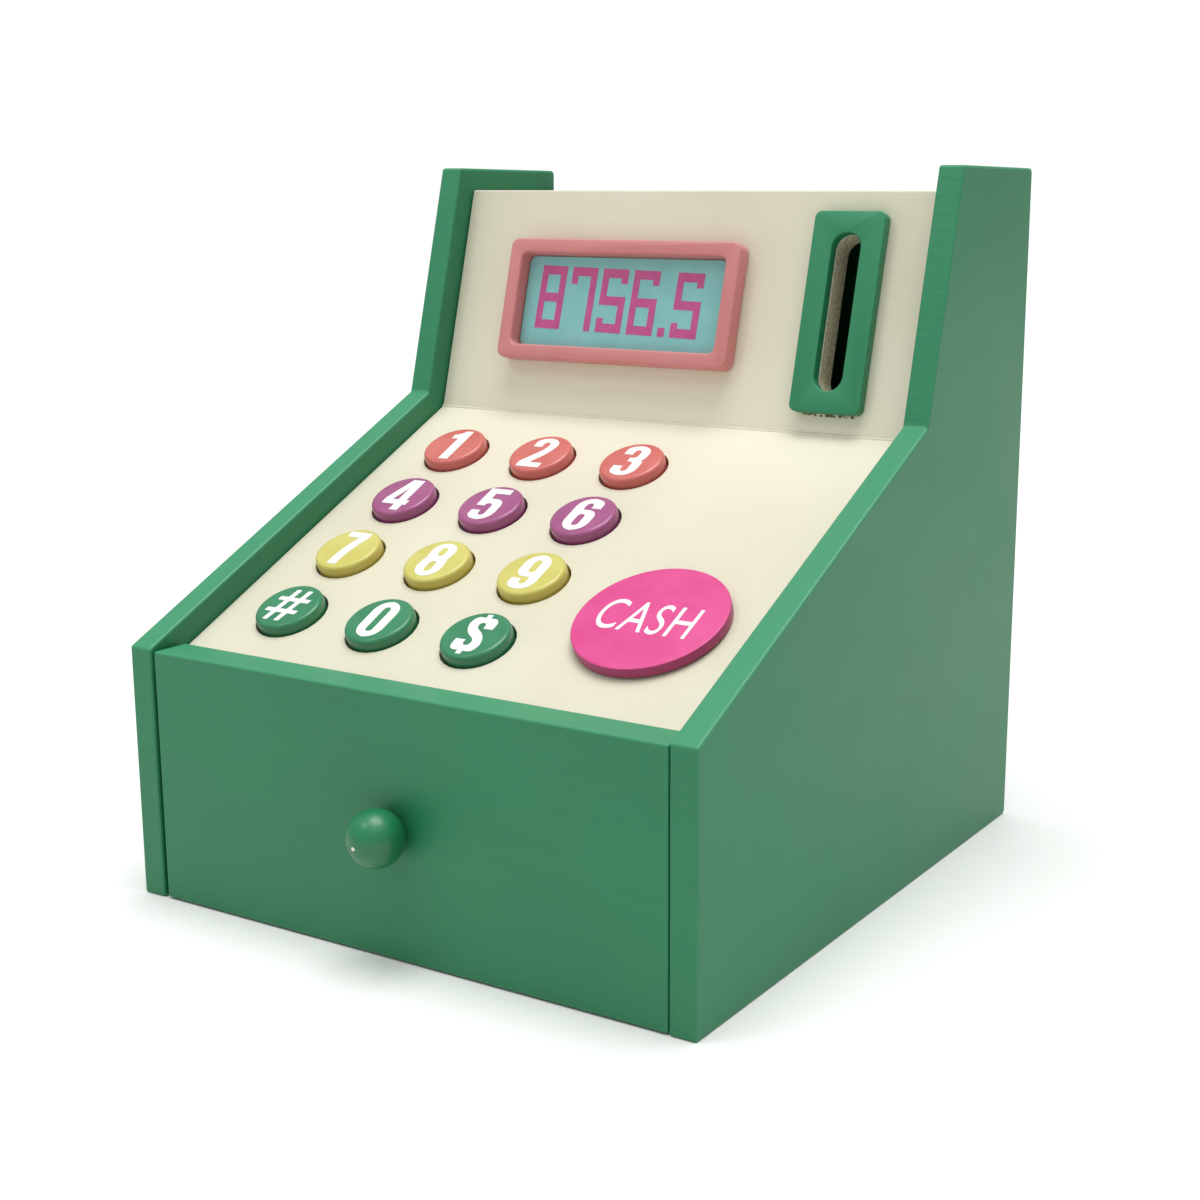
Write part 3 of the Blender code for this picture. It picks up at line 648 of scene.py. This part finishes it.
cashDisc = {
    "name": "cashDisc", "sides": 128, "radius": 22.0 * mm, "top": 3.6 * mm, "flangeTop": 0.7 * mm,
    "under": ((5.5 * mm, 15.7 * mm),), "rim": 0.4 * mm, "rimSteps": 4,
}
disc = roundCap(cashDisc, cashPinkLacquer)
cashAcross, cashUp = 53.0 * mm, 38.0 * mm
cashPlace = keypadPlace @ Matrix.Translation((cashAcross, cashUp, 0))
settle(disc, cashPlace)
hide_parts("cash_button")
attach(disc, "cash_key")

deselect()
bpy.ops.mesh.primitive_uv_sphere_add(segments=72, ring_count=48, radius=knobRadius)
knob = nameIt("drawerKnob")
pickAll()
bpy.ops.transform.rotate(value=math.pi / 2, orient_axis="X", center_override=(0, 0, 0))
bpy.ops.mesh.select_all(action="SELECT")
# sawn flat where it meets the drawer front
bpy.ops.mesh.bisect(plane_co=(0, knobHigh.y - knobCentre.y, 0), plane_no=(0, 1, 0),
                    clear_outer=True, use_fill=True)
doneEditing()
roundOff(knob, knobSoft, steps=2, angle=30)
smooth(knob, 30)
paintWith(knob, knobLacquer)
settle(knob, Matrix.Translation(knobCentre))
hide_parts("drawer_knob")
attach(knob, "drawer")
print("keys, disc and knob made")


def coilSpring(look):
    # a wire ring wound up round the middle, with its two ends closed
    deselect()
    bpy.ops.mesh.primitive_circle_add(vertices=look["wireSides"], radius=look["wire"],
                                      location=(look["radius"], 0, 0), rotation=(math.pi / 2, 0, 0))
    spring = nameIt(look["name"])
    bpy.ops.object.transform_apply(location=True, rotation=True, scale=True)
    winding = spring.modifiers.new("winding", "SCREW")
    winding.axis = "Z"
    winding.angle = 2 * math.pi
    winding.screw_offset = (look["length"] - 2 * look["wire"]) / look["turns"]
    winding.iterations = look["turns"]
    winding.steps = look["steps"]
    winding.render_steps = look["steps"]
    winding.use_normal_calculate = True
    applyAll(spring)
    pickAll()
    bpy.ops.mesh.remove_doubles(threshold=sameSpot)
    bpy.ops.mesh.select_mode(type="EDGE")
    bpy.ops.mesh.select_all(action="DESELECT")
    bpy.ops.mesh.select_non_manifold()
    bpy.ops.mesh.edge_face_add()
    bpy.ops.mesh.select_all(action="SELECT")
    bpy.ops.mesh.normals_make_consistent(inside=False)
    doneEditing()
    smooth(spring, 60)
    paintWith(spring, springWire)
    return spring


springSeat = -19.6 * mm  # just above the board that the springs stand on
springLook = {"name": "keySpring", "wire": 0.4 * mm, "wireSides": 10, "radius": 4.6 * mm,
              "length": 11.0 * mm, "turns": 4, "steps": 28}


def seatSpring(model, name, across, up, node):
    spring = copyOf(model, name)
    seat = keypadPlace @ Matrix.Translation((across, up, springSeat))
    settle(spring, seat @ Matrix.Translation((0, 0, springLook["wire"])))
    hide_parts(node)
    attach(spring, "casing")
    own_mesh(spring)


keySpring = coilSpring(springLook)
for name, colour, across, up in keySpots:
    seatSpring(keySpring, "spring_" + name, across * mm, up * mm,
               "button_spring_" + name)
discard(keySpring)
wideSpring = coilSpring(dict(springLook, name="cashSpringModel", radius=7.2 * mm))
seatSpring(wideSpring, "spring_cash", cashAcross, cashUp, "cash_spring")
discard(wideSpring)
print("springs made")


def crossScrew(look):
    # a countersunk wood screw: head, cross recess, plain shank, ridged thread and a point
    deselect()
    bpy.ops.mesh.primitive_cylinder_add(
        vertices=look["sides"], radius=look["head"], depth=look["headDepth"],
        location=(0, 0, -look["headDepth"] / 2))
    screw = nameIt(look["name"])
    bpy.ops.object.transform_apply(location=True, rotation=True, scale=True)
    pickFaces(screw, facesDown)
    taper = look["shank"] / look["head"]
    bpy.ops.mesh.extrude_region_move(TRANSFORM_OT_translate={"value": (0, 0, -look["neck"])})
    bpy.ops.transform.resize(value=(taper, taper, 1))
    left = look["length"] - look["headDepth"] - look["neck"] - look["point"]
    ridges = int(left / look["pitch"])
    for size in (look["waist"], 1 / look["waist"]) * ridges:
        bpy.ops.mesh.extrude_region_move(
            TRANSFORM_OT_translate={"value": (0, 0, -look["pitch"] / 2)})
        bpy.ops.transform.resize(value=(size, size, 1))
    bpy.ops.mesh.extrude_region_move(TRANSFORM_OT_translate={"value": (0, 0, -look["point"])})
    bpy.ops.transform.resize(value=(look["tip"], look["tip"], 1))
    doneEditing()
    for angle in (0, math.pi / 2):
        bpy.ops.object.select_all(action="DESELECT")
        bpy.ops.mesh.primitive_cube_add(size=1, rotation=(0, 0, angle))
        blade = nameIt("crossBlade")
        blade.scale = (look["cross"], look["crossWidth"], look["crossDepth"] * 2)
        bpy.ops.object.transform_apply(location=True, rotation=True, scale=True)
        pickFaces(blade, facesDown)
        bpy.ops.transform.resize(value=(look["crossTaper"], look["crossTaper"], 1))
        doneEditing()
        cutAway(screw, blade)
    smooth(screw, 30)
    paintWith(screw, zincPlate)
    return screw


backScrew = {"name": "backScrewModel", "head": 2.4 * mm, "headDepth": 0.5 * mm, "neck": 1.2 * mm,
             "shank": 1.2 * mm, "length": 22.0 * mm, "point": 2.4 * mm, "pitch": 1.0 * mm,
             "cross": 2.8 * mm, "crossWidth": 0.6 * mm, "crossDepth": 0.7 * mm, "crossTaper": 0.45,
             "sides": 40, "waist": 0.78, "tip": 0.12, "turn": 0.7}
modelScrew = crossScrew(backScrew)
for count in (1, 2, 3, 4):
    low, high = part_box("back_screw_%d" % count)
    screw = copyOf(modelScrew, "backScrew_%d" % count)
    # the head faces backwards, each cross left at its own angle
    turn = (Matrix.Rotation(-math.pi / 2, 4, "X")
            @ Matrix.Rotation(backScrew["turn"] * count, 4, "Z"))
    settle(screw, Matrix.Translation(((low.x + high.x) / 2, high.y, (low.z + high.z) / 2)) @ turn)
    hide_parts("back_screw_%d" % count)
    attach(screw, "casing")
discard(modelScrew)

low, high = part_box("knob_screw")
knobScrew = dict(backScrew, name="knobScrew", head=(high.x - low.x) / 2, headDepth=0.6 * mm,
                 length=high.y - low.y, cross=3.4 * mm, turn=0.4)
screw = crossScrew(knobScrew)
settle(screw, Matrix.Translation(((low.x + high.x) / 2, high.y, (low.z + high.z) / 2))
       @ Matrix.Rotation(-math.pi / 2, 4, "X") @ Matrix.Rotation(knobScrew["turn"], 4, "Z"))
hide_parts("knob_screw")
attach(screw, "drawer")
print("screws made")


def softCorners(corners, steps=6):
    # (x, y, r) corners in millimetres to an outline, with each r worked as a smooth turn
    outline = []
    for i, (x, y, r) in enumerate(corners):
        here = Vector((x, y))
        if not r:
            outline.append(here)
            continue
        before = Vector(corners[i - 1][:2]) - here
        after = Vector(corners[(i + 1) % len(corners)][:2]) - here
        start = here + before.normalized() * min(r, before.length * 0.5)
        end = here + after.normalized() * min(r, after.length * 0.5)
        # the turn is pulled three parts to the corner and one to the line between its ends
        pull = here * 1.5 + (start + end) * 0.25
        for step in range(steps + 1):
            t = step / steps
            outline.append(start * (1 - t) ** 2 + pull * t * (1 - t) + end * t * t)
    return outline


def cleanMesh(name):
    # the picked curve or text becomes a closed mesh
    bpy.ops.object.convert(target="MESH")
    shape = nameIt(name)
    pickAll()
    bpy.ops.mesh.remove_doubles(threshold=sameSpot)
    bpy.ops.mesh.normals_make_consistent(inside=False)
    doneEditing()
    return shape


def inkShape(name, outlines, thickness, finish):
    # closed outlines filled as one flat shape, an inner outline left open, then made a mesh
    curve = bpy.data.curves.new(name, "CURVE")
    curve.dimensions = "2D"
    curve.fill_mode = "BOTH"
    curve.extrude = thickness / 2
    for outline in outlines:
        spline = curve.splines.new("POLY")
        spline.points.add(len(outline) - 1)
        for point, corner in zip(spline.points, outline):
            point.co = (corner.x * mm, corner.y * mm, 0, 1)
        spline.use_cyclic_u = True
    shape = bpy.data.objects.new(name, curve)
    bpy.context.scene.collection.objects.link(shape)
    pickOnly(shape)
    shape = cleanMesh(name)
    paintWith(shape, finish)
    return shape


# heavy upright figures, drawn about their middle, millimetres, 15.6 tall
roundOval = ((-4.2, -7.8, 4.2), (4.2, -7.8, 4.2), (4.2, 7.8, 4.2), (-4.2, 7.8, 4.2))
sixOuter = ((-4.2, -7.8, 4.2), (4.2, -7.8, 4.2), (4.2, 2.2, 3.0), (-1.15, 2.2, 0.4),
            (-1.15, 5.5, 1.2), (1.15, 5.5, 1.2), (1.15, 3.2, 0), (4.2, 3.2, 0), (4.2, 7.8, 4.2),
            (-4.2, 7.8, 4.2))
sixHole = ((-1.15, -5.5, 1.2), (1.15, -5.5, 1.2), (1.15, 0.2, 1.2), (-1.15, 0.2, 1.2))
slant = 0.16  # how far the hash's uprights lean for each unit of height
hashOuter = ((-3.0, -7.0), (-1.3, -7.0), (-1.3, -3.4), (1.1, -3.4), (1.1, -7.0), (2.8, -7.0),
             (2.8, -3.4), (5.4, -3.4), (5.4, -1.8), (2.8, -1.8), (2.8, 1.8), (5.4, 1.8), (5.4, 3.4),
             (2.8, 3.4), (2.8, 7.0), (1.1, 7.0), (1.1, 3.4), (-1.3, 3.4), (-1.3, 7.0), (-3.0, 7.0),
             (-3.0, 3.4), (-5.6, 3.4), (-5.6, 1.8), (-3.0, 1.8), (-3.0, -1.8), (-5.6, -1.8),
             (-5.6, -3.4), (-3.0, -3.4))
hashHole = ((-1.3, -1.8), (1.1, -1.8), (1.1, 1.8), (-1.3, 1.8))
keyFigures = {
    "0": (roundOval, ((-1.15, -5.4, 1.2), (1.15, -5.4, 1.2), (1.15, 5.4, 1.2), (-1.15, 5.4, 1.2))),
    "1": (((-0.7, -7.8, 0), (2.7, -7.8, 0), (2.7, 7.8, 0), (0.1, 7.8, 0), (-0.9, 6.2, 1.5),
           (-3.1, 5.4, 0), (-3.1, 3.3, 0), (-0.7, 3.6, 0)),),
    "2": (((-4.1, -7.8, 0), (4.1, -7.8, 0), (4.1, -5.4, 0), (-0.5, -5.4, 0), (4.1, 1.2, 4.0),
           (4.1, 7.8, 4.2), (-4.1, 7.8, 4.2), (-4.1, 2.9, 0), (-1.1, 2.9, 0), (-1.1, 5.6, 1.2),
           (1.1, 5.6, 1.2), (1.1, 2.2, 2.5), (-4.1, -5.2, 0.5)),),
    "3": (((4.1, 7.8, 4.2), (-4.1, 7.8, 4.2), (-4.1, 3.1, 0), (-1.1, 3.1, 0), (-1.1, 5.6, 1.2),
           (1.1, 5.6, 1.2), (1.1, 1.5, 1.2), (-1.0, 1.5, 0), (-1.0, -0.5, 0), (1.15, -0.5, 1.2),
           (1.15, -5.6, 1.2), (-1.15, -5.6, 1.2), (-1.15, -3.0, 0), (-4.2, -3.0, 0),
           (-4.2, -7.8, 4.2), (4.2, -7.8, 4.2), (4.2, 0.0, 1.8), (3.0, 0.6, 0.8),
           (4.1, 1.3, 1.8)),),
    "4": (((0.4, -7.8, 0), (3.4, -7.8, 0), (3.4, -4.9, 0), (4.6, -4.9, 0), (4.6, -2.6, 0),
           (3.4, -2.6, 0), (3.4, 7.8, 0), (-0.9, 7.8, 0), (-4.5, -2.3, 0), (-4.5, -4.9, 0),
           (0.4, -4.9, 0)),
          ((0.4, -2.6, 0), (0.4, 3.8, 0), (-1.8, -2.6, 0))),
    "5": (((-4.0, 7.8, 0), (-4.2, -0.9, 0), (-1.3, -0.9, 0), (-1.2, 0.4, 1.0), (1.15, 0.4, 1.2),
           (1.15, -5.6, 1.2), (-1.15, -5.6, 1.2), (-1.15, -3.3, 0), (-4.2, -3.3, 0),
           (-4.2, -7.8, 4.2), (4.2, -7.8, 4.2), (4.2, 2.7, 3.2), (-1.1, 2.7, 0.6), (-1.1, 5.4, 0),
           (3.8, 5.4, 0), (3.8, 7.8, 0)),),
    "6": (sixOuter, sixHole),
    "7": (((-3.9, 7.8, 0), (-3.9, 5.3, 0), (0.7, 5.3, 0), (-1.6, -0.5, 5.0), (-2.0, -7.8, 0),
           (1.3, -7.8, 0), (1.6, -0.5, 6.0), (3.9, 5.3, 0), (3.9, 7.8, 0)),),
    "8": (((-4.2, -7.8, 4.2), (4.2, -7.8, 4.2), (4.2, -0.1, 2.2), (3.2, 0.6, 0.8), (4.0, 1.3, 2.2),
           (4.0, 7.8, 4.2), (-4.0, 7.8, 4.2), (-4.0, 1.3, 2.2), (-3.2, 0.6, 0.8),
           (-4.2, -0.1, 2.2)),
          ((-1.1, 1.7, 1.2), (1.1, 1.7, 1.2), (1.1, 5.7, 1.2), (-1.1, 5.7, 1.2)),
          ((-1.15, -5.6, 1.2), (1.15, -5.6, 1.2), (1.15, -0.7, 1.2), (-1.15, -0.7, 1.2))),
    "9": (tuple((-x, -y, r) for x, y, r in sixOuter), tuple((-x, -y, r) for x, y, r in sixHole)),
    "hash": tuple(tuple((x + slant * y, y, 0.3) for x, y in ring)
                  for ring in (hashOuter, hashHole)),
    "dollar": (((4.1, 2.6, 0), (1.1, 2.6, 0), (1.1, 4.9, 1.2), (-1.1, 4.9, 1.2), (-1.1, 2.8, 1.0),
                (4.2, -0.9, 3.0), (4.2, -7.0, 4.0), (0.8, -7.0, 0), (0.8, -8.4, 0), (-0.8, -8.4, 0),
                (-0.8, -7.0, 0), (-4.2, -7.0, 4.0), (-4.2, -2.6, 0), (-1.15, -2.6, 0),
                (-1.15, -4.8, 1.2), (1.15, -4.8, 1.2), (1.15, -2.2, 1.2), (-4.1, 1.2, 3.0),
                (-4.1, 7.0, 4.0), (-0.8, 7.0, 0), (-0.8, 8.4, 0), (0.8, 8.4, 0), (0.8, 7.0, 0),
                (4.1, 7.0, 4.0)),),
}
inkDepth = 0.12 * mm
inkLift = 0.3 * inkDepth  # the ink's middle stands this far over the face, so its back is sunk in
figureStretch = (1.04, 1.03)
keyTop = keyCap["top"]
for name, colour, across, up in keySpots:
    figure = inkShape("figure_" + name, [softCorners(ring) for ring in keyFigures[name]],
                      inkDepth, whiteScreenInk)
    settle(figure, keypadPlace @ Matrix.Translation((across * mm, up * mm, keyTop + inkLift))
           @ Matrix.Diagonal((*figureStretch, 1, 1)))
    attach(figure, "key_" + name)

# square figures of the pretend display, each drawn from its lower left corner
tall, wide, stem, bar, hook = 20.8, 9.8, 2.4, 2.9, 1.8
middle = (tall - bar) / 2
shoulder = tall - bar
hookEnd = shoulder - hook
sevenEnd = tall - 5.6  # where the seven's short stroke ends
right = wide - stem
upperHalf = ((0, 0), (wide, 0), (wide, middle + bar), (stem, middle + bar), (stem, shoulder),
             (right, shoulder), (right, hookEnd), (wide, hookEnd), (wide, tall), (0, tall))
squareFigures = {
    "5": (upperHalf + ((0, middle), (right, middle), (right, bar), (stem, bar),
                       (stem, bar + hook), (0, bar + hook)),),
    "6": (upperHalf, ((stem, bar), (right, bar), (right, middle), (stem, middle))),
    "7": (((right, 0), (wide, 0), (wide, tall), (0, tall), (0, sevenEnd), (stem, sevenEnd),
           (stem, shoulder), (right, shoulder)),),
    "8": (((0, 0), (wide, 0), (wide, tall), (0, tall)),
          ((stem, bar), (right, bar), (right, middle), (stem, middle)),
          ((stem, middle + bar), (right, middle + bar), (right, shoulder), (stem, shoulder))),
    ".": (((0, 0), (2.6, 0), (2.6, bar), (0, bar)),),
}
displayFigures = (("8", -52.4), ("7", -40.4), ("5", -28.4), ("6", -16.4), (".", -4.6), ("5", 0.0))

# the printed card was stuck in a touch crooked
displayTurn = math.radians(-1.3)
displayAt = (-21.4 * mm, 37.8 * mm)  # the figures' middle on the board
displayRun = [[Vector((x + shift, y)) for x, y in ring]
              for figure, shift in displayFigures for ring in squareFigures[figure]]
digits = inkShape("displayDigits", displayRun, inkDepth, magentaInk)
cardFace = 0.9 * mm
settle(digits, displayPlace @ Matrix.Translation((*displayAt, cardFace + inkLift))
       @ Matrix.Rotation(displayTurn, 4, "Z") @ Matrix.Translation((21.4 * mm, -tall / 2 * mm, 0)))
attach(digits, "casing")

cashText = {"height": 13.4 * mm, "width": 29.4 * mm, "thinner": 0.02 * mm, "depth": inkDepth,
            "across": -0.6 * mm, "up": -0.7 * mm, "spacing": 1.08, "capShare": 0.73}
deselect()
bpy.ops.object.text_add()
letters = bpy.context.object
letters.data.body = "CASH"
letters.data.align_x = "CENTER"
letters.data.align_y = "CENTER"
letters.data.size = cashText["height"] / cashText["capShare"]  # the face's capitals to its size
letters.data.extrude = cashText["depth"] / 2
letters.data.offset = -cashText["thinner"]
letters.data.space_character = cashText["spacing"]
letters = cleanMesh("cashLetters")
across = [v.co.x for v in letters.data.vertices]
upright = [v.co.y for v in letters.data.vertices]
squeeze = cashText["width"] / (max(across) - min(across))
centring = Matrix.Translation((-(max(across) + min(across)) / 2,
                               -(max(upright) + min(upright)) / 2, 0))
paintWith(letters, whiteScreenInk)
onDisc = Matrix.Translation((cashText["across"], cashText["up"], cashDisc["top"] + inkLift))
settle(letters, cashPlace @ onDisc @ Matrix.Diagonal((squeeze, 1, 1, 1)) @ centring)
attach(letters, "cash_key")
print("figures and letters made")


studio = {"floor": 6.0, "floorDrop": 0.05 * mm, "paperCloud": 180.0, "backdrop": 1.04,
          "sky": 0.44, "sun": 2.28, "sunWidth": 40.0, "sunTilt": (-1.0, 4.0)}
deselect()
bpy.ops.mesh.primitive_circle_add(vertices=96, radius=studio["floor"], fill_type="NGON",
                                  location=(0, 0, -studio["floorDrop"]))
floor = nameIt("studioFloor")
floorFinish, tree, shader = newFinish("paleFloorPaper", Roughness=0.8)
# seamless paper roll: white with the faintest cloudiness
place = addNode(tree, "TexCoord").outputs["Object"]
cloud = addNode(tree, "TexNoise", {"Vector": place, "Scale": perMm(studio["paperCloud"]),
                                   "Detail": 2.0})
paper = addNode(tree, "Mix", {"Factor": cloud.outputs["Fac"], 6: linearColour("#FCFCFB"),
                              7: linearColour("#FEFEFD")}, data_type="RGBA")
tree.links.new(paper.outputs[2], shader.inputs["Base Color"])
paintWith(floor, floorFinish)

world = bpy.data.worlds.new("softStudio")
bpy.context.scene.world = world
world.use_nodes = True
sky = world.node_tree.nodes["Background"]
sky.inputs["Color"].default_value = linearColour("#FEFEFD")
# the backdrop is seen white, while the light that it gives stays soft and lower
seen = addNode(world.node_tree, "LightPath")
strength = addNode(world.node_tree, "MapRange", {
    "Value": seen.outputs["Is Camera Ray"], "To Min": studio["sky"], "To Max": studio["backdrop"]})
world.node_tree.links.new(strength.outputs[0], sky.inputs["Strength"])

deselect()
sunTurn = [math.radians(tilt) for tilt in studio["sunTilt"]]
bpy.ops.object.light_add(type="SUN", rotation=(*sunTurn, 0))
softBox = bpy.context.object
softBox.name = "overheadSoftLight"
softBox.data.energy = studio["sun"]
softBox.data.angle = math.radians(studio["sunWidth"])

# a window-like panel high at the front, for the lights that sit on rounded paint
window = {"place": (-0.55, -0.75, 1.25), "aim": (0, 0, 0.1), "width": 0.45, "height": 0.3,
          "power": 2.4}
bpy.ops.object.light_add(type="AREA", location=window["place"])
panel = bpy.context.object
panel.name = "frontSoftPanel"
panel.data.shape = "RECTANGLE"
panel.data.size = window["width"]
panel.data.size_y = window["height"]
panel.data.energy = window["power"]
panel.rotation_euler = (Vector(window["aim"]) - panel.location).to_track_quat("-Z", "Y").to_euler()

lens = {"place": (0.3040, -0.4452, 0.2003), "target": (0.04115, -0.0080, 0.08853), "roll": 0.274,
        "focal": 54.53, "shift": -0.075}
bpy.ops.object.camera_add(location=lens["place"])
camera = bpy.context.object
aim = Vector(lens["target"]) - Vector(lens["place"])
camera.rotation_mode = "QUATERNION"
roll = Matrix.Rotation(math.radians(lens["roll"]), 3, "Z").to_quaternion()
camera.rotation_quaternion = aim.to_track_quat("-Z", "Y") @ roll
camera.data.lens = lens["focal"]
camera.data.sensor_width = 36.0
camera.data.shift_x = lens["shift"]
camera.data.clip_start = 0.01
bpy.context.scene.camera = camera
bpy.context.scene.view_settings.view_transform = "Standard"
print("studio ready")

deselect()
